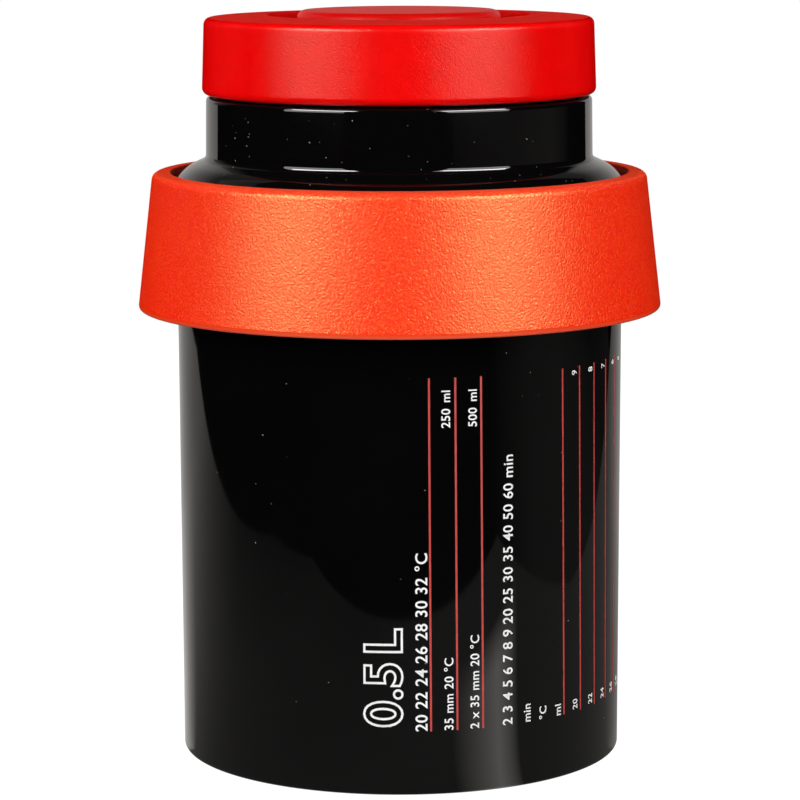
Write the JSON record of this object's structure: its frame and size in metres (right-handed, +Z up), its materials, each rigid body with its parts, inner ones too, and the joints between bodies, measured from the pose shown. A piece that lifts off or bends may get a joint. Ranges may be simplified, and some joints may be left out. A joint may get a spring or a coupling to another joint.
{
  "type": "film developing tank",
  "caption": "Daylight film tank: black cup and funnel lid clamped by a flared red sealing ring, red push-on cap with a bellows centre, and a core with adjustable spiral film reels.",
  "frame": {"origin": "on the tank's axis, in the plane of its foot", "axes": "+Z up along the tank's axis, with the printed side facing -Y"},
  "size_m": [0.1008, 0.1008, 0.1436],
  "materials": {
    "body_black": "gloss",
    "lid_black": "gloss",
    "core_black": "satin",
    "ring_red": "moulded leather grain",
    "cap_red": "satin",
    "reel_white": "satin",
    "stop_red": "gloss"
  },
  "bodies": {
    "tank": {"tank_body": "body_black"},
    "core": {"core": "core_black"},
    "reel_1_lower": {"reel_1_lower_half": "reel_white"},
    "reel_1_upper": {"reel_1_upper_half": "reel_white"},
    "reel_1_stop": {"reel_1_film_stop": "stop_red"},
    "reel_2_lower": {"reel_2_lower_half": "reel_white"},
    "reel_2_upper": {"reel_2_upper_half": "reel_white"},
    "reel_2_stop": {"reel_2_film_stop": "stop_red"},
    "lid": {"lid_shell": "lid_black", "lid_funnel": "core_black"},
    "ring": {"sealing_ring": "ring_red"},
    "cap": {"cap_skirt": "cap_red", "cap_bellows": "cap_red"},
    "cap_centre": {"cap_button": "cap_red"}
  },
  "joints": [
    {"name": "core_lift", "type": "slide", "parent": "tank", "child": "core", "axis": [0, 0, 1], "range_m": [0, 0.105]},
    {"name": "reel_1_lift", "type": "slide", "parent": "core", "child": "reel_1_lower", "axis": [0, 0, 1], "range_m": [0, 0.092]},
    {"name": "reel_1_width", "type": "slide", "parent": "reel_1_lower", "child": "reel_1_upper", "axis": [0, 0, 1], "range_m": [0, 0.0264]},
    {"name": "reel_1_stop_travel", "type": "slide", "parent": "reel_1_upper", "child": "reel_1_stop", "axis": [0, 0, 1], "range_m": [0, 0.002]},
    {"name": "reel_2_lift", "type": "slide", "parent": "reel_1_upper", "child": "reel_2_lower", "axis": [0, 0, 1], "range_m": [0, 0.05]},
    {"name": "reel_2_width", "type": "slide", "parent": "reel_2_lower", "child": "reel_2_upper", "axis": [0, 0, 1], "range_m": [0, 0.0264]},
    {"name": "reel_2_stop_travel", "type": "slide", "parent": "reel_2_upper", "child": "reel_2_stop", "axis": [0, 0, 1], "range_m": [0, 0.002]},
    {"name": "lid_lift", "type": "slide", "parent": "reel_2_upper", "child": "lid", "axis": [0, 0, 1], "range_m": [0, 0.06]},
    {"name": "ring_slide", "type": "slide", "parent": "lid", "child": "ring", "axis": [0, 0, 1], "range_m": [0, 0.012]},
    {"name": "cap_lift", "type": "slide", "parent": "lid", "child": "cap", "axis": [0, 0, 1], "range_m": [0, 0.03]},
    {"name": "cap_press", "type": "slide", "parent": "cap", "child": "cap_centre", "axis": [0, 0, 1], "range_m": [-0.0024, 0], "stiffness_N_per_m": 700, "deforming": ["cap_bellows"]}
  ]
}
